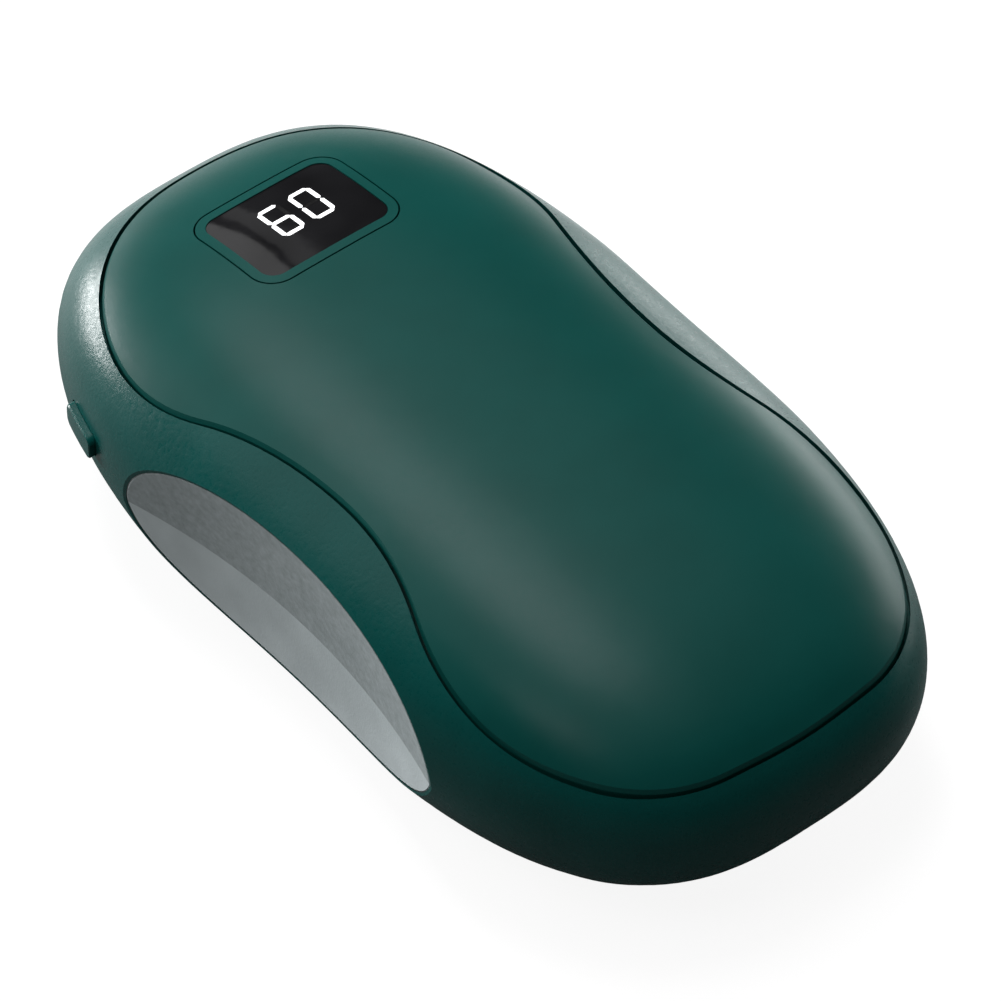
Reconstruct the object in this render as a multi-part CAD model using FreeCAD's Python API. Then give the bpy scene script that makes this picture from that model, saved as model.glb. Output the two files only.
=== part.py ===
import FreeCAD
import Part
import math
import os

from FreeCAD import Vector

# Rechargeable hand warmer: a pebble-shaped frame with a crowned heating cover on each face,
# a display in the upper cover, a press button on the left flank and a charging port at the far end.
# +Y points to the display end, +Z up, and the origin is the middle of the flat resting land.

# Pebble envelope: superelliptic plan, crowned alike above and below the middle plane
body_length = 107.8
body_width = 59.8
crown_height = 16.4
base_cut = 0.5
plan_power = 2.87
side_power = 3.2
crown_power = 2.25
wall = 2.4
undercut_ratio = 0.488
undercut_height = undercut_ratio * crown_height

# Peanut outline of the two covers, as tangent arcs placed by shares of the body
far_reach_ratio = 0.4555
near_reach_ratio = 0.4712
waist_place_ratio = -0.028
near_lobe_place_ratio = -0.2588
far_lobe_ratio = 0.4097
waist_ratio = 0.3361
near_lobe_ratio = 0.4164
near_side_ratio = 0.2532
near_corner_ratio = 0.1531
near_end_ratio = 1.833
cover_far_reach = far_reach_ratio * body_length
cover_near_reach = near_reach_ratio * body_length
waist_y = waist_place_ratio * body_length
near_lobe_y = near_lobe_place_ratio * body_length
far_lobe_radius = far_lobe_ratio * body_width
waist_half_width = waist_ratio * body_width
near_half_width = near_lobe_ratio * body_width
near_side_radius = near_side_ratio * body_length
near_corner_radius = near_corner_ratio * body_length
near_end_radius = near_end_ratio * body_width ** 2 / body_length
far_lobe_y = cover_far_reach - far_lobe_radius
cover_thickness = 1.6
cover_edge_chamfer = 0.3
seam_gap = 0.4
seal_thickness = 0.3
seal_margin = 0.4
ledge_width = 2.5
rim_gap = 0.6
land_ratio = 0.8784
land_height = land_ratio * (crown_height - cover_thickness)

# Side scoops with a V crease, and the grip inserts that line them
scoop_waist_ratio = 0.4164
scoop_place_ratio = -0.0186
scoop_length_ratio = 0.2814
crease_ratio = 0.122
upper_facet_angle = 5.5
lower_facet_angle = 2.5
scoop_half_width = scoop_waist_ratio * body_width
scoop_centre_y = scoop_place_ratio * body_length
scoop_half_length = scoop_length_ratio * body_length
scoop_radius = scoop_half_length ** 2 / (body_width - 2 * scoop_half_width)
crease_drop = crease_ratio * crown_height
grip_thickness = 1.2
grip_edge = 0.25
grip_gap = 0.08
scoop_wall = 1.8

# Display set into the upper cover
display_place_ratio = 0.2987
display_x = 0.8
display_y = display_place_ratio * body_length
window_width = 16.3
window_length = 12.5
window_radius = 1.8
window_thickness = 1.2
window_recess = 0.1
window_gap = 0.06
window_seat = 0.9
bezel_border = 1.15
bezel_gap = 0.2
bezel_flange = 1.2
bezel_flange_depth = 0.3
digits_x = 0.53
digits_y = 0.77
digit_width = 2.9
digit_height = 5.4
digit_pitch = 4.05
digit_stroke = 0.5
segment_gap = 0.045
light_guide_gap = 0.03
module_gap = 0.1
display_board_thickness = 1.0
stake_radius = 0.55
stake_height = 1.4
header_width = 12.0
header_depth = 2.4
header_collar = 2.2
header_pins = 6
header_pin = 0.64

# Power button on the left flank
button_place_ratio = 0.3094
button_y = button_place_ratio * body_length
button_length = 6.2
button_height = 3.0
button_corner_ratio = 0.28
button_proud = 0.8
button_gap = 0.15
button_travel = 0.5
button_flange = 0.9
button_flange_thickness = 0.9
button_edge_chamfer = 0.15
button_stem_length = 3.2
button_stem_width = 2.4
button_stem_height = 1.6
guide_border = 2.4
guide_depth = 3.1
switch_length = 4.7
switch_depth = 3.5
switch_height = 3.2
plunger_length = 2.4
plunger_height = 1.2
plunger_proud = 1.0
plunger_inset = 1.8
press_gap = 0.03

# Main board with the charging port
board_place_ratio = 0.2041
board_near = board_place_ratio * body_length
board_thickness = 1.0
board_margin = 0.5
port_width = 8.94
port_height = 3.26
port_depth = 7.35
port_wall = 0.3
port_gap = 0.2
port_recess = 0.5
port_tab_width = 12.0
port_tab_margin = 1.0
tongue_width = 6.7
tongue_thickness = 0.7
tongue_length = 5.0
chip_size = 5.5
chip_height = 0.9
chip_x = 7.5
chip_inset = 8.0
inductor_size = 5.0
inductor_height = 3.0
inductor_x = -7.0
inductor_inset = 8.0
connector_width = 6.0
connector_depth = 4.6
connector_height = 3.6
connector_inset = 6.0
connector_y = board_near + connector_inset

# Battery pack in its tray
cell_length_ratio = 0.5195
cell_thickness_ratio = 0.4268
tray_floor = 1.3
tray_wall = 1.0
tray_gap = 0.2
tray_margin = 0.4
tray_clearance = 0.9
tray_half_width = waist_half_width - ledge_width - tray_clearance
cell_width = 2 * (tray_half_width - tray_wall - tray_gap)
cell_length = cell_length_ratio * body_length
cell_thickness = cell_thickness_ratio * crown_height
cell_end_room = 4.5
cell_far = board_near - cell_end_room
cell_corner_radius = 2.5
cell_tape = 0.4
protection_margin = 3.5
protection_width = cell_width - 2 * protection_margin
protection_height = 6.0
protection_thickness = 1.0
lead_width = 1.2
lead_thickness = 0.6
lead_spacing = 2.4

# Heating films and insulation
film_width_ratio = 0.4348
film_length_ratio = 0.4082
film_place_ratio = -0.0835
film_thickness = 0.25
film_width = film_width_ratio * body_width
film_length = film_length_ratio * body_length
film_centre_y = film_place_ratio * body_length
film_corner_radius = 5.0
foam_margin = 2.0
foam_width = film_width - 2 * foam_margin
foam_length = film_length - 2 * foam_margin
foam_corner_radius = film_corner_radius - foam_margin / 2
sensor_width = 1.6
sensor_length = 3.0
sensor_height = 0.9

# Screws
screw_radius = 0.6
screw_hole_radius = 0.65
clearance_hole_radius = 0.75
screw_head_radius = 1.1
screw_head_height = 0.7
tray_ear_inset = 1.0
tray_ear_place_ratio = -0.2968
tray_ear_width = 3.8
tray_ear_gap = 0.4
tray_screw_ratio = 0.14
tray_screw_length = tray_floor + tray_screw_ratio * crown_height
board_post_radius = 2.2
board_post_gap = 0.5
board_post_angle = 54.8
board_screw_inset = 3.0
board_screw_length = 4.6

# Heights measured from the resting land
mid = crown_height - base_cut
seat_drop = cover_thickness + seal_thickness
land = mid + land_height
stack_height = 2 * cell_thickness + cell_tape
cell_base = mid - stack_height / 2
cell_top = mid + stack_height / 2
tray_base = cell_base - tray_floor
board_top = mid - port_height / 2
board_base = board_top - board_thickness
shelf = mid - undercut_height / 2
ear_top = shelf + tray_floor
window_seat_drop = window_recess + window_thickness + window_gap
port_mouth = body_length / 2 - port_recess
tall = 4 * crown_height

# How finely the free-form outlines and faces are drawn
loft_levels = (0.93, 0.8, 0.6, 0.32)
outline_points = 32
crown_limit_ratio = 0.965
patch_margin = 2.0
patch_columns = 10
patch_rows = 18


def level_scale(height, crown):
    """Share of the plan outline at a height over the middle plane."""
    return (1 - (abs(height) / crown) ** crown_power) ** (1 / side_power)


def plan_outline(half_width, half_length, z):
    """Closed superelliptic outline at one height."""
    points = []
    for step in range(outline_points):
        angle = 2 * math.pi * step / outline_points
        across = math.cos(angle)
        along = math.sin(angle)
        stretch = (abs(across) ** plan_power + abs(along) ** plan_power) ** (-1 / plan_power)
        points.append(Vector(half_width * stretch * across, half_length * stretch * along, z))
    curve = Part.BSplineCurve()
    curve.interpolate(Points=points, PeriodicFlag=True)
    return Part.Wire(curve.toShape())


def pebble(inset):
    """Pebble solid inset all round, with flat caps that lie inside the cover openings."""
    crown = crown_height - inset
    ratios = [-ratio for ratio in loft_levels] + [0] + list(reversed(loft_levels))
    sections = []
    for ratio in ratios:
        scale = level_scale(crown * ratio, crown)
        half_width = (body_width / 2 - inset) * scale
        half_length = (body_length / 2 - inset) * scale
        sections.append(plan_outline(half_width, half_length, mid + crown * ratio))
    return Part.makeLoft(sections, True)


def crown_at(x, y):
    """Height of the pebble's crown over the middle plane, carried on straight past its rim."""
    across = abs(x) / (body_width / 2)
    along = abs(y) / (body_length / 2)
    share = (across ** plan_power + along ** plan_power) ** (1 / plan_power)
    inner = min(share, crown_limit_ratio)
    room = 1 - inner ** side_power
    slope = side_power / crown_power * inner ** (side_power - 1) * room ** (1 / crown_power - 1)
    return crown_height * (room ** (1 / crown_power) - slope * (share - inner))


def flank_at(y):
    """Half width of the pebble at its middle plane."""
    along = abs(y) / (body_length / 2)
    return body_width / 2 * (1 - along ** plan_power) ** (1 / plan_power)


guide_face = flank_at(button_y) - guide_depth
flange_face = -guide_face + press_gap
stem_end = flange_face + button_flange_thickness + button_stem_length
switch_face = stem_end + press_gap + plunger_proud
bezel_reach = bezel_border + bezel_flange
bezel_half_width = window_width / 2 + bezel_reach
bezel_half_length = window_length / 2 + bezel_reach
bezel_corner = crown_at(abs(display_x) + bezel_half_width, display_y + bezel_half_length)
bezel_base = mid + bezel_corner - seat_drop - bezel_flange_depth
display_board_base = bezel_base - display_board_thickness


def crown_face(drop):
    """Crowned face that lies a given depth under the top of the pebble."""
    half_x = near_half_width + patch_margin
    half_y = max(cover_near_reach, cover_far_reach) + patch_margin
    rows = []
    for column in range(patch_columns + 1):
        x = half_x * (2 * column / patch_columns - 1)
        ys = [half_y * (2 * row / patch_rows - 1) for row in range(patch_rows + 1)]
        rows.append([Vector(x, y, mid + crown_at(x, y) - drop) for y in ys])
    surface = Part.BSplineSurface()
    surface.interpolate(rows)
    return surface.toShape()


def under_crown(drop):
    """Solid below a crowned face."""
    return crown_face(drop).extrude(Vector(0, 0, -tall))


def crown_sheet(drop, thickness):
    """Crowned sheet of even depth."""
    return crown_face(drop).extrude(Vector(0, 0, -thickness))


def flip(shape):
    """The same shape on the underside of the pebble."""
    return shape.mirror(Vector(0, 0, mid), Vector(0, 0, 1))


def other_side(shape):
    """The same shape on the right flank."""
    return shape.mirror(Vector(0, 0, 0), Vector(1, 0, 0))


def prism(wire, low, high):
    """Upright prism on a flat outline drawn at height zero."""
    face = Part.Face(wire)
    face.translate(Vector(0, 0, low))
    return face.extrude(Vector(0, 0, high - low))


def along_x(wire, low, high, y, z):
    """Prism along X on an outline whose first axis becomes Y and second axis Z."""
    solid = Part.Face(wire).extrude(Vector(0, 0, high - low))
    solid.rotate(Vector(0, 0, 0), Vector(1, 1, 1), 120)
    solid.translate(Vector(low, y, z))
    return solid


def along_y(wire, low, high, x, z):
    """Prism along Y on an outline whose first axis stays X and second axis becomes Z."""
    solid = Part.Face(wire).extrude(Vector(0, 0, low - high))
    solid.rotate(Vector(0, 0, 0), Vector(1, 0, 0), 90)
    solid.translate(Vector(x, low, z))
    return solid


def rounded(width, length, radius):
    """Rectangle with round corners, centred on the origin."""
    half_x = width / 2 - radius
    half_y = length / 2 - radius
    corners = ((half_x, half_y, 0), (-half_x, half_y, 90), (-half_x, -half_y, 180), (half_x, -half_y, 270))
    arcs = []
    for x, y, start in corners:
        turns = [math.radians(start + part) for part in (0, 45, 90)]
        arcs.append([Vector(x + radius * math.cos(a), y + radius * math.sin(a), 0) for a in turns])
    edges = []
    for index, arc in enumerate(arcs):
        edges.append(Part.Arc(*arc).toShape())
        following = arcs[(index + 1) % len(arcs)][0]
        if arc[2].distanceToPoint(following) > 1e-6:
            edges.append(Part.LineSegment(arc[2], following).toShape())
    return Part.Wire(edges)


def block(width, length, radius, low, high, x, y):
    """Upright block with round corners."""
    solid = prism(rounded(width, length, radius), low, high)
    solid.translate(Vector(x, y, 0))
    return solid


def box(width, length, low, high, x, y):
    """Upright block with square corners."""
    return Part.makeBox(width, length, high - low, Vector(x - width / 2, y - length / 2, low))


def cylinder(radius, low, high, x, y):
    """Upright cylinder."""
    return Part.makeCylinder(radius, high - low, Vector(x, y, low))


def screw(x, y, seat, length):
    """Pan-head screw standing on its head's seat."""
    head = cylinder(screw_head_radius, seat, seat + screw_head_height, x, y)
    return head.fuse(cylinder(screw_radius, seat - length, seat, x, y))


def cover_arcs():
    """Centres of the arcs down the right side of the cover outline, and the two radii of its waist."""
    far = Vector(0, far_lobe_y, 0)
    rise = far_lobe_y - waist_y
    far_radius = waist_half_width ** 2 + rise ** 2 - far_lobe_radius ** 2
    far_radius /= 2 * (far_lobe_radius - waist_half_width)
    side = Vector(near_half_width - near_side_radius, near_lobe_y, 0)
    across = waist_half_width - side.x
    near_radius = across ** 2 + (waist_y - near_lobe_y) ** 2 - near_side_radius ** 2
    near_radius /= 2 * (near_half_width - waist_half_width)
    waist_far = Vector(waist_half_width + far_radius, waist_y, 0)
    waist_near = Vector(waist_half_width + near_radius, waist_y, 0)
    end = Vector(0, near_end_radius - cover_near_reach, 0)
    to_side = near_side_radius - near_corner_radius
    to_end = near_end_radius - near_corner_radius
    line = side - end
    along = (line.Length ** 2 + to_end ** 2 - to_side ** 2) / (2 * line.Length)
    aside = math.sqrt(to_end ** 2 - along ** 2)
    unit = line / line.Length
    corner = end + unit * along + Vector(-unit.y, unit.x, 0) * aside
    return far, waist_far, waist_near, side, corner, end, far_radius, near_radius


def cover_edges(grow):
    """Arcs of the peanut outline of the covers, grown evenly all round, clockwise from the far lobe."""
    far, waist_far, waist_near, side, corner, end, waist_far_radius, waist_near_radius = cover_arcs()
    far_radius = far_lobe_radius + grow
    side_radius = near_side_radius + grow
    corner_radius = near_corner_radius + grow
    end_radius = near_end_radius + grow

    def on(centre, towards, radius):
        return centre + (towards - centre).normalize() * radius

    def between(centre, first, second, radius):
        return on(centre, centre + (first - centre).normalize() + (second - centre).normalize(), radius)

    leave_far = on(far, waist_far, far_radius)
    waist = Vector(waist_half_width + grow, waist_far.y, 0)
    reach_side = on(side, waist_near, side_radius)
    leave_side = on(side, corner, side_radius)
    leave_corner = on(end, corner, end_radius)
    right = (
        (leave_far, between(waist_far, leave_far, waist, waist_far_radius - grow), waist),
        (waist, between(waist_near, waist, reach_side, waist_near_radius - grow), reach_side),
        (reach_side, between(side, reach_side, leave_side, side_radius), leave_side),
        (leave_side, between(corner, leave_side, leave_corner, corner_radius), leave_corner),
    )

    def mirrored(point):
        return Vector(-point.x, point.y, 0)

    arcs = [Part.Arc(mirrored(leave_far), far + Vector(0, far_radius, 0), leave_far)]
    arcs += [Part.Arc(*arc) for arc in right]
    arcs.append(Part.Arc(leave_corner, end - Vector(0, end_radius, 0), mirrored(leave_corner)))
    arcs += [Part.Arc(*[mirrored(point) for point in reversed(arc)]) for arc in reversed(right)]
    return [arc.toShape() for arc in arcs]


def cover_prism(grow):
    """Upright prism of the cover outline through the upper half of the pebble."""
    return prism(Part.Wire(cover_edges(grow)), mid, mid + 2 * crown_height)


def over_seat(rise):
    """Solid above the seat of the upper cover, which follows the seam up and down along Y."""
    seam = []
    for edge in cover_edges(0)[:6]:
        first, last = edge.ParameterRange
        seam += [edge.valueAt(first + (last - first) * share) for share in (0.5, 1)]
    line = [(point.y, mid + crown_at(point.x, point.y) - seat_drop + rise) for point in seam[:-1]]
    run_up = (line[0][0] + patch_margin, line[0][1])
    run_out = (line[-1][0] - patch_margin, line[-1][1])
    points = [Vector(-body_width, y, z) for y, z in [run_up] + line + [run_out]]
    curve = Part.BSplineCurve()
    curve.interpolate(Points=points)
    return curve.toShape().extrude(Vector(2 * body_width, 0, 0)).extrude(Vector(0, 0, tall))


def scoop_wheel(deeper):
    """Wheel with a V rim that hollows the left flank, set a given depth further in."""
    crease = mid - crease_drop
    rim = scoop_radius + deeper
    rise = crown_height + crease_drop
    upper = rim - rise * math.tan(math.radians(upper_facet_angle))
    lower = rim - crown_height * math.tan(math.radians(lower_facet_angle))
    profile = Part.makePolygon([
        Vector(0, 0, crease + rise), Vector(-upper, 0, crease + rise), Vector(-rim, 0, crease),
        Vector(-lower, 0, crease - crown_height), Vector(0, 0, crease - crown_height),
        Vector(0, 0, crease + rise)])
    wheel = Part.Face(profile).revolve(Vector(0, 0, 0), Vector(0, 0, 1), 360)
    wheel.translate(Vector(-scoop_half_width - scoop_radius, scoop_centre_y, 0))
    return wheel


def undercut_outline(margin):
    """Outline of the room inside the frame at the middle, with a margin to its wall."""
    scale = level_scale(undercut_height / 2, crown_height)
    inset = wall + margin
    return plan_outline(body_width / 2 * scale - inset, body_length / 2 * scale - inset, 0)


def undercut():
    """Room behind the ledges, held clear of the wall behind the grips."""
    low = mid - undercut_height / 2
    room = prism(undercut_outline(0), low, low + undercut_height)
    wheel = scoop_wheel(grip_thickness + grip_gap + scoop_wall)
    return room.cut([wheel, other_side(wheel)])


def left_grip():
    """Grip insert: a layer of even depth behind the face of the left scoop."""
    layer = pebble(grip_edge).common(scoop_wheel(grip_thickness))
    return layer.cut(scoop_wheel(0))


def grip_pocket():
    return pebble(grip_edge - grip_gap).common(scoop_wheel(grip_thickness + grip_gap))


def button_outline(grow):
    """Rounded outline of the button with its length along the first axis."""
    corner = button_corner_ratio * button_height + grow
    return rounded(button_length + 2 * grow, button_height + 2 * grow, corner)


def shelf_wall(y):
    """Half width of the room in the frame over its shelf."""
    scale = level_scale(undercut_height / 2, crown_height)
    along = abs(y) / (body_length / 2 * scale - wall)
    room = (body_width / 2 * scale - wall) * (1 - along ** plan_power) ** (1 / plan_power)
    hollow = scoop_half_width + (y - scoop_centre_y) ** 2 / (2 * scoop_radius)
    return min(room, hollow - grip_thickness - grip_gap - scoop_wall)


def tray_screw_places():
    places = []
    for y in (cell_far + tray_ear_inset, tray_ear_place_ratio * body_length):
        half = tray_ear_width / 2
        x = min(shelf_wall(y - half), shelf_wall(y + half)) - screw_head_radius - tray_ear_gap
        places += [(-x, y), (x, y)]
    return places


def board_screw_places():
    near_x = tray_half_width - board_post_radius - board_post_gap
    ring = far_lobe_radius - ledge_width - rim_gap - tray_margin - board_post_radius - board_post_gap
    turn = math.radians(board_post_angle)
    far_x = ring * math.cos(turn)
    far_y = far_lobe_y + ring * math.sin(turn)
    near_y = board_near + board_screw_inset
    return [(-near_x, near_y), (near_x, near_y), (-far_x, far_y), (far_x, far_y)]


def main_frame():
    """One-piece ring: ledges for both covers, scoops for the grips, button slot and port mouth."""
    pocket = over_seat(0).common(cover_prism(seam_gap))
    opening = cover_prism(-ledge_width)
    scoop = scoop_wheel(0)
    pad = grip_pocket()
    frame = pebble(0).cut([undercut(), pocket, flip(pocket), opening, flip(opening)])
    frame = frame.cut([scoop, other_side(scoop), pad, other_side(pad)])
    guide = along_x(button_outline(guide_border), -guide_face - wall, -guide_face, button_y, mid)
    frame = frame.fuse(guide.common(pebble(wall / 3)))
    slot = along_x(button_outline(button_gap), -body_width, 0, button_y, mid)
    flange_room = along_x(button_outline(button_flange + 2 * button_gap), -guide_face, 0, button_y, mid)
    port = rounded(port_width + 2 * port_gap, port_height + 2 * port_gap, port_height / 2 + port_gap)
    mouth = along_y(port, 0, body_length, 0, mid)
    holes = [cylinder(screw_hole_radius, ear_top - tray_screw_length, shelf, x, y)
             for x, y in tray_screw_places()]
    return frame.cut([slot, flange_room, mouth] + holes)


def display_column(grow, low):
    """Upright prism around the display window, grown evenly, from a height up past the crown."""
    outline = rounded(window_width + 2 * grow, window_length + 2 * grow, window_radius + grow)
    outline.translate(Vector(display_x, display_y, 0))
    return prism(outline, low, low + tall)


def cover_shell():
    """Crowned cover with a rim on its seat and a flat inner land for the heating film."""
    solid = under_crown(0).common(over_seat(seal_thickness)).common(cover_prism(0))
    core = under_crown(cover_thickness).common(cover_prism(-ledge_width - rim_gap))
    core = core.common(prism(rounded(body_width, body_length, wall), 0, land))
    return solid.cut(core)


def soften_rim(shell):
    """Break the edge of a cover's crowned face along its outline."""
    crown = max(shell.Faces, key=lambda face: face.BoundBox.ZMax)
    return shell.makeChamfer(cover_edge_chamfer, crown.OuterWire.Edges)


def top_cover(shell):
    """Cover with the display opening and a pocket behind it for the bezel's flange."""
    opening = display_column(bezel_border + bezel_gap, mid)
    pocket = display_column(bezel_border + bezel_flange + bezel_gap, mid)
    return shell.cut([opening, pocket.common(under_crown(cover_thickness))])


def cover_seal():
    """Adhesive ring between the cover's rim and its seat."""
    ring = over_seat(0).cut(over_seat(seal_thickness))
    return ring.common(cover_prism(-seal_margin)).cut(cover_prism(seal_margin - ledge_width))


def stake_places():
    x = window_width / 2 + (bezel_border + bezel_flange - window_seat) / 2
    y = window_length / 4
    return [(display_x + side * x, display_y + end * y) for side in (-1, 1) for end in (-1, 1)]


def display_bezel():
    """Border of the display with a flange behind the cover, a seat for the window and heat stakes."""
    border = under_crown(0).common(display_column(bezel_border, bezel_base))
    flange = under_crown(seat_drop).common(display_column(bezel_border + bezel_flange, bezel_base))
    window_room = display_column(window_gap, bezel_base).cut(under_crown(window_seat_drop))
    bezel = border.fuse(flange).cut([window_room, display_column(-window_seat, bezel_base)])
    stakes = [cylinder(stake_radius, bezel_base - stake_height, bezel_base, x, y) for x, y in stake_places()]
    return bezel.fuse(stakes)


def segment_outline(length, upright, grow):
    """One bar of a digit: a slim hexagon, grown evenly."""
    half = length / 2 - segment_gap + grow
    side = digit_stroke / 2 + grow
    tip = half - side
    corners = [(half, 0), (tip, side), (-tip, side), (-half, 0), (-tip, -side), (tip, -side), (half, 0)]
    if upright:
        corners = [(-y, x) for x, y in corners]
    return Part.makePolygon([Vector(x, y, 0) for x, y in corners])


def segment_places():
    """Bars of one digit by letter: centre, length and whether it stands upright."""
    bar = digit_width - digit_stroke
    post = (digit_height - digit_stroke) / 2
    return {
        "a": (0, post, bar, False),
        "b": (bar / 2, post / 2, post, True),
        "c": (bar / 2, -post / 2, post, True),
        "d": (0, -post, bar, False),
        "e": (-bar / 2, -post / 2, post, True),
        "f": (-bar / 2, post / 2, post, True),
        "g": (0, 0, bar, False),
    }


def segment_columns(side, letters, grow):
    """Upright bars of the left or right digit, from the display board up past the crown."""
    columns = []
    for letter in letters:
        x, y, length, upright = segment_places()[letter]
        wire = segment_outline(length, upright, grow)
        wire.translate(Vector(display_x + digits_x + side * digit_pitch / 2 + x, display_y + digits_y + y, 0))
        columns.append(prism(wire, bezel_base, bezel_base + tall))
    return columns


def light_guides(letters_left, letters_right):
    """Light guides that carry the chosen bars of both digits up to the window's face."""
    columns = segment_columns(-1, letters_left, 0) + segment_columns(1, letters_right, 0)
    return under_crown(window_recess).common(Part.makeCompound(columns))


def guide_slots():
    return segment_columns(-1, "abcdefg", light_guide_gap) + segment_columns(1, "abcdefg", light_guide_gap)


def display_window():
    pane = crown_sheet(window_recess, window_thickness).common(display_column(0, bezel_base))
    return pane.cut(guide_slots())


def display_module():
    """Reflector block under the window that holds the light guides."""
    column = display_column(-window_seat - module_gap, bezel_base)
    return under_crown(window_seat_drop).common(column).cut(guide_slots())


def display_board():
    column = display_column(bezel_border + bezel_flange, display_board_base)
    board = column.common(prism(rounded(body_width, body_length, wall), 0, bezel_base))
    holes = [cylinder(stake_radius + light_guide_gap, display_board_base, bezel_base, x, y)
             for x, y in stake_places()]
    return board.cut(holes)


def display_header():
    """Pin header that stands on the main board and carries the display board."""
    y = display_y + window_length / 2
    top = display_board_base
    lower = box(header_width, header_depth, board_top, board_top + header_collar, 0, y)
    upper = box(header_width, header_depth, top - header_collar, top, 0, y)
    pins = []
    for pin in range(header_pins):
        x = header_width * ((pin + 0.5) / header_pins - 0.5)
        pins.append(box(header_pin, header_pin, board_top, top, x, y))
    return lower.fuse([upper] + pins)


def power_button():
    """Rounded button that follows the flank, with a flange behind the wall and a stem to the switch."""
    cap = along_x(button_outline(0), -body_width, flange_face, button_y, mid).common(pebble(-button_proud))
    rim = [edge for edge in cap.Edges if edge.BoundBox.XMax < flange_face - wall / 2
           and edge.BoundBox.YLength + edge.BoundBox.ZLength > button_height / 4]
    cap = cap.makeChamfer(button_edge_chamfer, rim)
    flange_back = flange_face + button_flange_thickness
    flange = along_x(button_outline(button_flange), flange_face, flange_back, button_y, mid)
    stem = rounded(button_stem_width, button_stem_height, button_stem_height / 4)
    return cap.fuse([flange, along_x(stem, flange_back, stem_end, button_y, mid)])


def switch_body():
    """Side-push switch on the main board behind the button."""
    body = box(switch_depth, switch_length, board_top, board_top + switch_height,
               switch_face + switch_depth / 2, button_y)
    slot = rounded(plunger_length + 2 * press_gap, plunger_height + 2 * press_gap, plunger_height / 4)
    depth = plunger_inset + button_travel + press_gap
    return body.cut(along_x(slot, switch_face, switch_face + depth, button_y, mid))


def switch_plunger():
    tip = rounded(plunger_length, plunger_height, plunger_height / 4)
    return along_x(tip, switch_face - plunger_proud, switch_face + plunger_inset, button_y, mid)


def main_board():
    """Board in the far lobe with a tab that carries the charging port."""
    outline = prism(Part.Wire(cover_edges(-ledge_width - board_margin)), board_base, board_top)
    far_part = block(body_width, body_length, wall, board_base, board_top, 0, board_near + body_length / 2)
    board = outline.common(far_part)
    tab_far = body_length / 2 * level_scale(undercut_height / 2, crown_height) - wall - port_tab_margin
    tab_near = display_y
    tab = block(port_tab_width, tab_far - tab_near, board_thickness, board_base, board_top,
                0, (tab_far + tab_near) / 2)
    holes = [cylinder(clearance_hole_radius, board_base, board_top, x, y) for x, y in board_screw_places()]
    return board.fuse(tab).cut(holes)


def port_outline(inset):
    height = port_height - 2 * inset
    return rounded(port_width - 2 * inset, height, height / 2)


def port_shell():
    """Drawn metal shell of the charging port, closed at its back."""
    back = port_mouth - port_depth
    shell = along_y(port_outline(0), back, port_mouth, 0, mid)
    return shell.cut(along_y(port_outline(port_wall), back + port_wall, port_mouth, 0, mid))


def port_tongue():
    root = port_mouth - port_depth + port_wall
    return along_y(rounded(tongue_width, tongue_thickness, tongue_thickness / 4), root, root + tongue_length,
                   0, mid)


def board_piece(width, length, height, x, y):
    """Square component on top of the main board."""
    return box(width, length, board_top, board_top + height, x, y)


def battery_cell(low):
    y = cell_far - cell_length / 2
    return block(cell_width, cell_length, cell_corner_radius, low, low + cell_thickness, 0, y)


def protection_board():
    middle = cell_top - cell_thickness / 2
    return box(protection_width, protection_thickness, middle - protection_height / 2,
               middle + protection_height / 2, 0, cell_far + protection_thickness / 2)


def battery_tray():
    """Open tray around the cells, with ears on the frame's shelf and posts under the main board."""
    near = cell_far - cell_length - tray_gap
    far = cell_far + protection_thickness + tray_gap
    bay_width = cell_width + 2 * tray_gap
    y = (near + far) / 2
    outer_width = 2 * tray_half_width
    outer_length = far - near + 2 * tray_wall
    outer = block(outer_width, outer_length, cell_corner_radius + tray_wall, tray_base, ear_top, 0, y)
    plate = prism(Part.Wire(cover_edges(-ledge_width - rim_gap - tray_margin)), tray_base, cell_base)
    plate = plate.common(box(outer_width, body_length, tray_base, cell_base, 0, near + body_length / 2))
    posts = [cylinder(board_post_radius, tray_base, board_base, x, y) for x, y in board_screw_places()]
    ears = []
    for x, ear_y in tray_screw_places():
        span = 2 * (abs(x) + screw_head_radius)
        ears.append(block(span, tray_ear_width, screw_head_radius, shelf, ear_top, 0, ear_y))
    tray = outer.fuse([plate] + posts + ears)
    bay = block(bay_width, far - near, cell_corner_radius, cell_base, tall, 0, y)
    holes = [cylinder(screw_hole_radius, tray_base, board_base, x, y) for x, y in board_screw_places()]
    holes += [cylinder(clearance_hole_radius, shelf, ear_top, x, y) for x, y in tray_screw_places()]
    return tray.cut([bay] + holes).removeSplitter()


def battery_lead(x):
    """Flat lead from the protection board down to its connector, as two equal tangent arcs."""
    start = Vector(x, cell_far + protection_thickness, cell_top - cell_thickness / 2)
    end = Vector(x, connector_y - connector_depth / 2, board_top + connector_height / 2)
    forward = end.y - start.y
    down = start.z - end.z
    radius = (forward ** 2 + down ** 2) / (4 * down)
    turn = math.degrees(2 * math.atan2(down, forward))
    halves = []
    for point, side in ((start, -1), (end, 1)):
        corner = point - Vector(lead_width / 2, 0, lead_thickness / 2)
        section = Part.makePlane(lead_width, lead_thickness, corner, Vector(0, -1, 0), Vector(1, 0, 0))
        halves.append(section.revolve(point + Vector(0, 0, side * radius), Vector(1, 0, 0), -turn))
    return halves[0].fuse(halves[1])


def heater_film():
    return block(film_width, film_length, film_corner_radius, land - film_thickness, land, 0, film_centre_y)


def foam_pad(low, high):
    """Insulating pad between the battery pack and a heating film."""
    return block(foam_width, foam_length, foam_corner_radius, low, high, 0, film_centre_y)


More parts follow.
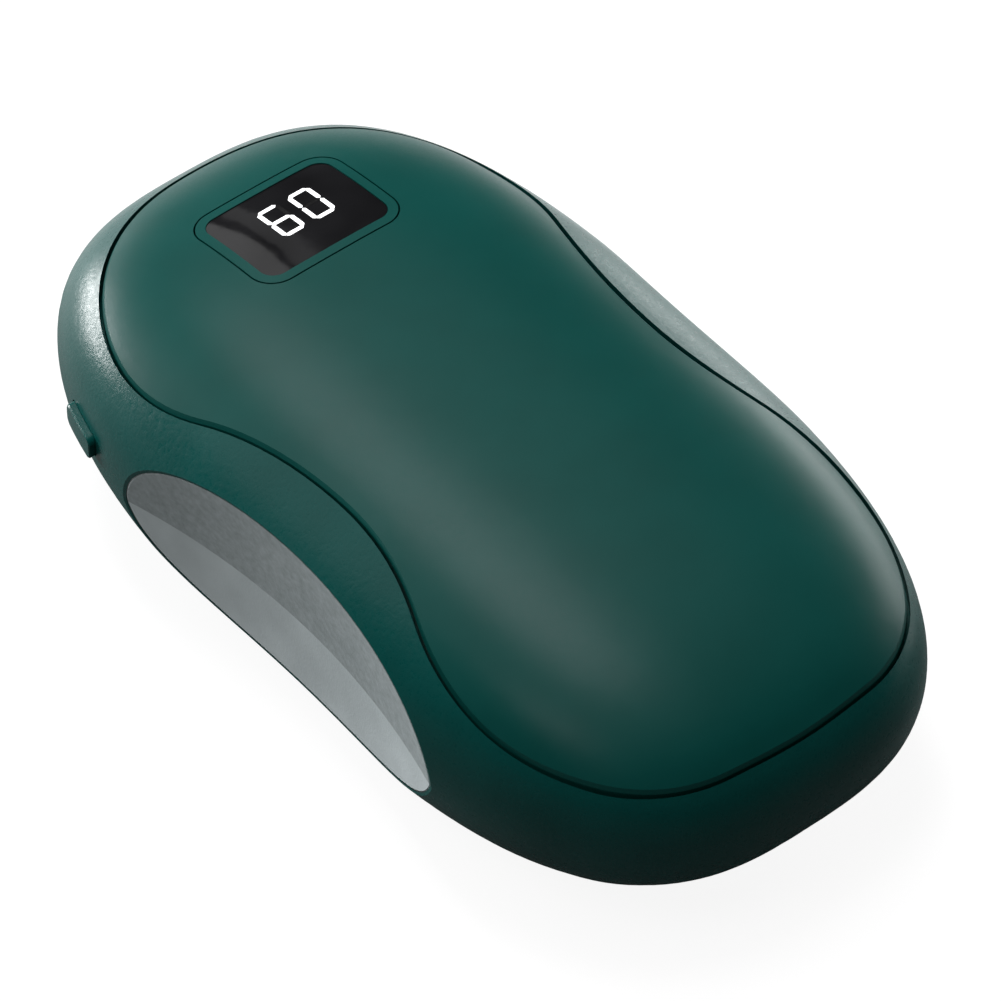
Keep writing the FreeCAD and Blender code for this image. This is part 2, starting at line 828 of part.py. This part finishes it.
def film_sensor():
    under = land - film_thickness
    x = (foam_width + foam_margin) / 2
    return box(sensor_width, sensor_length, under - sensor_height, under, x, film_centre_y)


def build():
    """Every node by name."""
    shell = soften_rim(cover_shell())
    film = heater_film()
    top_sensor = film_sensor()
    seal = cover_seal()
    grip = left_grip()
    film_face = land - film_thickness
    return {
        "main_frame": main_frame(),
        "top_cover": top_cover(shell),
        "bottom_cover": flip(shell).common(block(body_width, body_length, wall, 0, mid, 0, 0)),
        "top_seal": seal,
        "bottom_seal": flip(seal),
        "left_grip": grip,
        "right_grip": other_side(grip),
        "display_bezel": display_bezel(),
        "display_window": display_window(),
        "lit_segments": light_guides("acdefg", "abcdef"),
        "unlit_segments": light_guides("b", "g"),
        "display_module": display_module(),
        "display_board": display_board(),
        "display_header": display_header(),
        "power_button": power_button(),
        "switch_body": switch_body(),
        "switch_plunger": switch_plunger(),
        "main_board": main_board(),
        "usb_port_shell": port_shell(),
        "usb_port_tongue": port_tongue(),
        "controller_chip": board_piece(chip_size, chip_size, chip_height, chip_x, board_near + chip_inset),
        "power_inductor": board_piece(inductor_size, inductor_size, inductor_height, inductor_x,
                                      board_near + inductor_inset),
        "battery_connector": board_piece(connector_width, connector_depth, connector_height, 0, connector_y),
        "lower_cell": battery_cell(cell_base),
        "upper_cell": battery_cell(cell_top - cell_thickness),
        "cell_tape": block(cell_width - 2 * cell_corner_radius, cell_length - 2 * cell_corner_radius,
                           cell_corner_radius, cell_base + cell_thickness, cell_top - cell_thickness,
                           0, cell_far - cell_length / 2),
        "protection_board": protection_board(),
        "battery_leads": Part.makeCompound([battery_lead(side * lead_spacing / 2) for side in (-1, 1)]),
        "battery_tray": battery_tray(),
        "top_heater_film": film,
        "bottom_heater_film": flip(film),
        "top_foam_pad": foam_pad(cell_top, film_face),
        "bottom_foam_pad": foam_pad(2 * mid - film_face, tray_base),
        "film_sensors": Part.makeCompound([top_sensor, flip(top_sensor)]),
        "tray_screws": Part.makeCompound([screw(x, y, ear_top, tray_screw_length - screw_hole_radius)
                                          for x, y in tray_screw_places()]),
        "board_screws": Part.makeCompound([screw(x, y, board_top, board_screw_length)
                                           for x, y in board_screw_places()]),
    }


if __name__ == "__main__":
    os.makedirs("parts", exist_ok=True)
    for name, shape in build().items():
        shape.exportStep("parts/" + name + ".step")
        print(name, len(shape.Solids), round(shape.Volume, 1), shape.isValid())
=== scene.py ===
import math

import bpy
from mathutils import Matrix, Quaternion, Vector


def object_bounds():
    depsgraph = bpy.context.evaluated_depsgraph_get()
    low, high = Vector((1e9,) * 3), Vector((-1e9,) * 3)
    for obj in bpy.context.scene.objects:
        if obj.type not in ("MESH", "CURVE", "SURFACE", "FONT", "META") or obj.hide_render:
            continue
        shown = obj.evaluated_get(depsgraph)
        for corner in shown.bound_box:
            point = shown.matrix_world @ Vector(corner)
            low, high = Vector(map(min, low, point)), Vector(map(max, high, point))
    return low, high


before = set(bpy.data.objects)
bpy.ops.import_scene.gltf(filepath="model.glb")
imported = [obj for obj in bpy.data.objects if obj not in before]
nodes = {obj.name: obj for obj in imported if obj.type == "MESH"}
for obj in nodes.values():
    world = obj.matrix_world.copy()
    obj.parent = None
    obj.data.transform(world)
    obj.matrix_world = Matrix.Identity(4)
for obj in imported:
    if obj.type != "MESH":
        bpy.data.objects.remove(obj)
cad_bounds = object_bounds()
scene = bpy.context.scene

# Camera, fitted to the photograph's outline, in metres and degrees, with its lens in millimetres
camera_azimuth = -38.95
camera_elevation = 47.67
camera_distance = 0.72804
camera_target = Vector((0.0006, -0.002116, 0.0159))
camera_lens = 251.75
camera_sensor = 36

# Floor, in metres, with its reflections fading in behind the object and out of its oval of shade
floor_reach = 6.0
floor_drop = 0.00005
floor_grey = 0.2
floor_glow = 0.9
back_direction = (0.63, 0.78, 0)
back_fade = (0, 0.06)
shade_fade = (1.2, 1.7)

# Light, in metres
world_strength = 0.03
lamp_distance = 0.9
lamp_target = Vector((0, 0, 0.016))

# Surfaces, with noise scales in cells per millimetre
millimetres_per_metre = 1000
noise_range = (0.3, 0.7)
cloud_scale = 0.11
gloss_spread = 0.05
# Normal tilts at which the painted light on the grip's lower facet fades in and out, with painted shade
# beyond them
lit_facet_tilt_in = (-0.14, -0.02)
lit_facet_tilt_out = (0.08, 0.2)


# Shader helpers

def linear(red, green, blue):
    """Linear colour of an 8-bit display colour."""
    channels = []
    for value in (red, green, blue):
        share = value / 255
        channels.append(share / 12.92 if share <= 0.04045 else ((share + 0.055) / 1.055) ** 2.4)
    return (*channels, 1)


def new_material(name):
    """Material with its node tree and its surface shader."""
    material = bpy.data.materials.new(name)
    material.use_nodes = True
    tree = material.node_tree
    return material, tree, tree.nodes["Principled BSDF"]


def place(tree):
    """Object-space position in millimetres."""
    coordinate = tree.nodes.new("ShaderNodeTexCoord")
    mapping = tree.nodes.new("ShaderNodeMapping")
    mapping.inputs["Scale"].default_value = (millimetres_per_metre,) * 3
    tree.links.new(coordinate.outputs["Object"], mapping.inputs["Vector"])
    return mapping.outputs["Vector"]


def noise(tree, vector, scale, detail, roughness=0.5):
    """Soft noise at a scale in cells per millimetre."""
    texture = tree.nodes.new("ShaderNodeTexNoise")
    texture.inputs["Scale"].default_value = scale
    texture.inputs["Detail"].default_value = detail
    texture.inputs["Roughness"].default_value = roughness
    tree.links.new(vector, texture.inputs["Vector"])
    return texture.outputs["Fac"]


def spread(tree, value, low, high, source=noise_range):
    """Value from its source range, which is the usual one of noise, to a new range."""
    ranged = tree.nodes.new("ShaderNodeMapRange")
    ranged.inputs["From Min"].default_value = source[0]
    ranged.inputs["From Max"].default_value = source[1]
    ranged.inputs["To Min"].default_value = low
    ranged.inputs["To Max"].default_value = high
    tree.links.new(value, ranged.inputs["Value"])
    return ranged.outputs["Result"]


def calculate(tree, operation, first, second):
    """Result of a sum, product or the like of two values."""
    node = tree.nodes.new("ShaderNodeMath")
    node.operation = operation
    tree.links.new(first, node.inputs[0])
    tree.links.new(second, node.inputs[1])
    return node.outputs["Value"]


def blend_colours(tree, factor, first, second):
    """Two display colours mixed by a factor."""
    mix = tree.nodes.new("ShaderNodeMix")
    mix.data_type = "RGBA"
    mix.inputs["A"].default_value = linear(*first)
    mix.inputs["B"].default_value = linear(*second)
    tree.links.new(factor, mix.inputs["Factor"])
    return mix.outputs["Result"]


def bump(tree, height, depth):
    """Surface normal of a height field, with its depth in millimetres."""
    node = tree.nodes.new("ShaderNodeBump")
    node.inputs["Distance"].default_value = depth / millimetres_per_metre
    tree.links.new(height, node.inputs["Height"])
    return node.outputs["Normal"]


# Materials

def moulded(name, dark, light, rough, grain_scale, grain_depth, specular=0.5, metallic=0.0):
    """Moulded, coated or plated surface: cloudy colour, uneven gloss and a fine grain."""
    material, tree, shader = new_material(name)
    vector = place(tree)
    cloud = spread(tree, noise(tree, vector, cloud_scale, detail=3), 0, 1)
    grain = noise(tree, vector, grain_scale, detail=4, roughness=0.6)
    gloss = spread(tree, grain, rough - gloss_spread, rough + gloss_spread)
    tree.links.new(blend_colours(tree, cloud, dark, light), shader.inputs["Base Color"])
    tree.links.new(gloss, shader.inputs["Roughness"])
    tree.links.new(bump(tree, grain, grain_depth), shader.inputs["Normal"])
    shader.inputs["Specular IOR Level"].default_value = specular
    shader.inputs["Metallic"].default_value = metallic
    return material


def grip_material():
    """Grip in two tones picked by the surface's tilt: the mottled, darker upper facet is painted shade,
    the smoother, paler lower facet painted light.
    """
    material, tree, shader = new_material("grained_grip")
    vector = place(tree)
    coordinate = tree.nodes.new("ShaderNodeTexCoord")
    tilt = tree.nodes.new("ShaderNodeSeparateXYZ")
    tree.links.new(coordinate.outputs["Normal"], tilt.inputs["Vector"])
    # Lower facet, found by its tilt: it takes the painted light, and the rest of the grip takes the
    # painted shade
    lit_facet = calculate(tree, "MULTIPLY", spread(tree, tilt.outputs["Z"], 0, 1, lit_facet_tilt_in),
                            spread(tree, tilt.outputs["Z"], 1, 0, lit_facet_tilt_out))
    mottle = spread(tree, noise(tree, vector, scale=1.1, detail=4, roughness=0.65), 0, 1)
    cloud = spread(tree, noise(tree, vector, scale=0.15, detail=2), 0, 1)
    # Darker mottled tone is painted shade; paler smooth tone is painted light
    shaded_tone = blend_colours(tree, mottle, (116, 126, 127), (164, 174, 176))
    lit_tone = blend_colours(tree, cloud, (188, 198, 200), (202, 212, 214))
    tone = tree.nodes.new("ShaderNodeMix")
    tone.data_type = "RGBA"
    tree.links.new(lit_facet, tone.inputs["Factor"])
    tree.links.new(shaded_tone, tone.inputs["A"])
    tree.links.new(lit_tone, tone.inputs["B"])
    tree.links.new(tone.outputs["Result"], shader.inputs["Base Color"])
    grain = noise(tree, vector, scale=3.0, detail=4, roughness=0.6)
    tree.links.new(spread(tree, grain, low=0.58, high=0.68), shader.inputs["Roughness"])
    tree.links.new(bump(tree, grain, depth=0.04), shader.inputs["Normal"])
    shader.inputs["Specular IOR Level"].default_value = 0.2
    return material


def window_material():
    """Smoked gloss window with a faint cloud under its polish."""
    material, tree, shader = new_material("smoked_window")
    vector = place(tree)
    cloud = spread(tree, noise(tree, vector, scale=0.16, detail=1), 0, 1)
    polish = spread(tree, noise(tree, vector, scale=1.4, detail=2), low=0.04, high=0.06)
    tree.links.new(blend_colours(tree, cloud, (19, 19, 21), (30, 30, 32)), shader.inputs["Base Color"])
    tree.links.new(polish, shader.inputs["Roughness"])
    return material


def lit_material():
    """Diffusing light guide with a slightly uneven glow."""
    material, tree, shader = new_material("lit_guide")
    cloud = spread(tree, noise(tree, place(tree), scale=1.1, detail=1), 0, 1)
    glow = blend_colours(tree, cloud, (248, 250, 252), (255, 255, 255))
    tree.links.new(glow, shader.inputs["Base Color"])
    tree.links.new(glow, shader.inputs["Emission Color"])
    shader.inputs["Emission Strength"].default_value = 1.0
    shader.inputs["Roughness"].default_value = 0.4
    return material


def floor_material():
    """Matte floor, pale to the camera, and to reflections behind the object and out of its shade."""
    material = bpy.data.materials.new("pale_floor")
    material.use_nodes = True
    tree = material.node_tree
    tree.nodes.clear()
    paths = tree.nodes.new("ShaderNodeLightPath")
    spot = tree.nodes.new("ShaderNodeTexCoord").outputs["Object"]
    depth = tree.nodes.new("ShaderNodeVectorMath")
    depth.operation = "DOT_PRODUCT"
    depth.inputs[1].default_value = back_direction
    tree.links.new(spot, depth.inputs[0])
    behind = spread(tree, depth.outputs["Value"], 0, 1, back_fade)
    oval = tree.nodes.new("ShaderNodeMapping")
    oval.inputs["Scale"].default_value = (1 / cad_bounds[1][0], 1 / cad_bounds[1][1], 0)
    tree.links.new(spot, oval.inputs["Vector"])
    outside = tree.nodes.new("ShaderNodeVectorMath")
    outside.operation = "LENGTH"
    tree.links.new(oval.outputs["Vector"], outside.inputs[0])
    unshaded = spread(tree, outside.outputs["Value"], 0, 1, shade_fade)
    mirrored = calculate(tree, "MAXIMUM", paths.outputs["Is Glossy Ray"],
                         paths.outputs["Is Transmission Ray"])
    sheen = calculate(tree, "MULTIPLY", mirrored, calculate(tree, "MULTIPLY", behind, unshaded))
    strength = tree.nodes.new("ShaderNodeMath")
    strength.operation = "MULTIPLY_ADD"
    strength.inputs[1].default_value = floor_glow
    tree.links.new(paths.outputs["Is Camera Ray"], strength.inputs[0])
    tree.links.new(sheen, strength.inputs[2])
    glow = tree.nodes.new("ShaderNodeEmission")
    tree.links.new(strength.outputs["Value"], glow.inputs["Strength"])
    matte = tree.nodes.new("ShaderNodeBsdfDiffuse")
    matte.inputs["Color"].default_value = (floor_grey, floor_grey, floor_grey, 1)
    both = tree.nodes.new("ShaderNodeAddShader")
    tree.links.new(glow.outputs["Emission"], both.inputs[0])
    tree.links.new(matte.outputs["BSDF"], both.inputs[1])
    output = tree.nodes.new("ShaderNodeOutputMaterial")
    tree.links.new(both.outputs["Shader"], output.inputs["Surface"])
    return material


# Finishes: a dark and a light display colour, a roughness, and the grain's scale and depth
looks = {
    "body": moulded("soft_touch_green", (5, 71, 67), (7, 76, 72), 0.30, 1.7, 0.032, specular=0.18),
    "cover": moulded("satin_green", (6, 71, 66), (8, 75, 70), 0.36, 5.0, 0.004, specular=0.15),
    "grip": grip_material(),
    "window": window_material(),
    "lit": lit_material(),
    "unlit": moulded("unlit_guide", (18, 18, 19), (26, 26, 28), 0.2, 3.0, 0.002),
    "reflector": moulded("reflector", (46, 46, 48), (58, 58, 60), 0.5, 4.0, 0.01),
    "board": moulded("lacquered_board", (10, 58, 34), (18, 74, 46), 0.3, 2.0, 0.01),
    "black": moulded("black_mould", (14, 14, 15), (24, 24, 26), 0.45, 5.0, 0.01),
    "cream": moulded("cream_mould", (222, 216, 198), (234, 229, 214), 0.4, 4.0, 0.01),
    "steel": moulded("plated_steel", (176, 177, 180), (198, 199, 202), 0.28, 6.0, 0.004, metallic=1.0),
    "foil": moulded("cell_foil", (184, 187, 190), (206, 208, 212), 0.3, 1.2, 0.02, metallic=1.0),
    "adhesive": moulded("adhesive", (20, 20, 21), (32, 32, 33), 0.6, 4.0, 0.02),
    "film": moulded("amber_film", (150, 84, 16), (182, 108, 26), 0.25, 2.0, 0.004),
    "foam": moulded("open_foam", (34, 34, 36), (56, 56, 58), 0.9, 3.0, 0.2, specular=0.1),
    "tray": moulded("tray_mould", (20, 20, 22), (32, 32, 34), 0.5, 5.0, 0.01),
    "lead": moulded("lead_jacket", (150, 20, 16), (176, 30, 24), 0.45, 4.0, 0.01),
}

# Pieces that take each finish
dressed = {
    "body": ("main_frame", "power_button"),
    "cover": ("top_cover", "bottom_cover", "display_bezel"),
    "grip": ("left_grip", "right_grip"),
    "window": ("display_window",),
    "lit": ("lit_segments",),
    "unlit": ("unlit_segments",),
    "reflector": ("display_module", "power_inductor"),
    "board": ("display_board", "main_board", "protection_board"),
    "black": ("display_header", "switch_body", "usb_port_tongue", "controller_chip", "film_sensors"),
    "cream": ("switch_plunger", "battery_connector"),
    "steel": ("usb_port_shell", "tray_screws", "board_screws"),
    "foil": ("lower_cell", "upper_cell"),
    "adhesive": ("top_seal", "bottom_seal", "cell_tape"),
    "film": ("top_heater_film", "bottom_heater_film"),
    "foam": ("top_foam_pad", "bottom_foam_pad"),
    "tray": ("battery_tray",),
    "lead": ("battery_leads",),
}
for look, names in dressed.items():
    for name in names:
        nodes[name].data.materials.clear()
        nodes[name].data.materials.append(looks[look])

# Floor, just under the object, which keeps its soft shadow
corners = [(-floor_reach, -floor_reach, -floor_drop), (floor_reach, -floor_reach, -floor_drop),
           (floor_reach, floor_reach, -floor_drop), (-floor_reach, floor_reach, -floor_drop)]
mesh = bpy.data.meshes.new("floor")
mesh.from_pydata(corners, [], [(0, 1, 2, 3)])
floor = bpy.data.objects.new("floor", mesh)
floor.data.materials.append(floor_material())
scene.collection.objects.link(floor)

# World
world = bpy.data.worlds.new("studio")
world.use_nodes = True
background = world.node_tree.nodes["Background"]
background.inputs["Color"].default_value = (1, 1, 1, 1)
background.inputs["Strength"].default_value = world_strength
scene.world = world


# Lamps: a direction from the object, a width and a height in metres, and the power in watts

def lamp(name, direction, width, height, watts, roll=0.0, distance=lamp_distance):
    """Soft rectangular lamp that faces the object, rolled about its axis in degrees."""
    light = bpy.data.lights.new(name, "AREA")
    light.shape = "RECTANGLE"
    light.size = width
    light.size_y = height
    light.energy = watts
    piece = bpy.data.objects.new(name, light)
    away = Vector(direction).normalized()
    piece.location = lamp_target + away * distance
    piece.rotation_mode = "QUATERNION"
    piece.rotation_quaternion = away.to_track_quat("Z", "Y") @ Quaternion((0, 0, 1), math.radians(roll))
    scene.collection.objects.link(piece)


lamp("top_lamp", (0, 0, 1), 0.8, 0.8, 0.9)
lamp("near_lamp", (-0.55, -0.05, 0.83), 0.3, 0.3, 1.0)
lamp("waist_lamp", (0.09, 0.38, 0.92), 0.3, 0.75, 4.9)
lamp("key_lamp", (-0.42, 0.6, 0.68), 0.5, 0.5, 1.1)
lamp("left_lamp", (-0.28, 0.96, 0.06), 0.4, 0.12, 7.5)
lamp("right_lamp", (0.97, 0.1, 0.17), 0.6, 0.2, 0.8)
lamp("back_lamp", (0, 0.99, 0.06), 0.5, 0.08, 0.8)
lamp("right_card", (0.99, 0.07, 0.12), 0.16, 0.06, 0.12, distance=0.145)
lamp("window_card", (0.315, 0.787, 0.533), 0.09, 0.36, 0.085, roll=18)
lamp("window_strip", (0.389, 0.751, 0.533), 0.022, 0.36, 0.008, roll=18)

# Camera at the photograph's angle
azimuth = math.radians(camera_azimuth)
elevation = math.radians(camera_elevation)
back = Vector((math.sin(azimuth) * math.cos(elevation), -math.cos(azimuth) * math.cos(elevation),
               math.sin(elevation)))
camera = bpy.data.objects.new("camera", bpy.data.cameras.new("camera"))
camera.data.sensor_width = camera_sensor
camera.data.lens = camera_lens
camera.location = camera_target + back * camera_distance
camera.rotation_mode = "QUATERNION"
camera.rotation_quaternion = (-back).to_track_quat("-Z", "Y")
scene.collection.objects.link(camera)
scene.camera = camera
scene.view_settings.view_transform = "Standard"
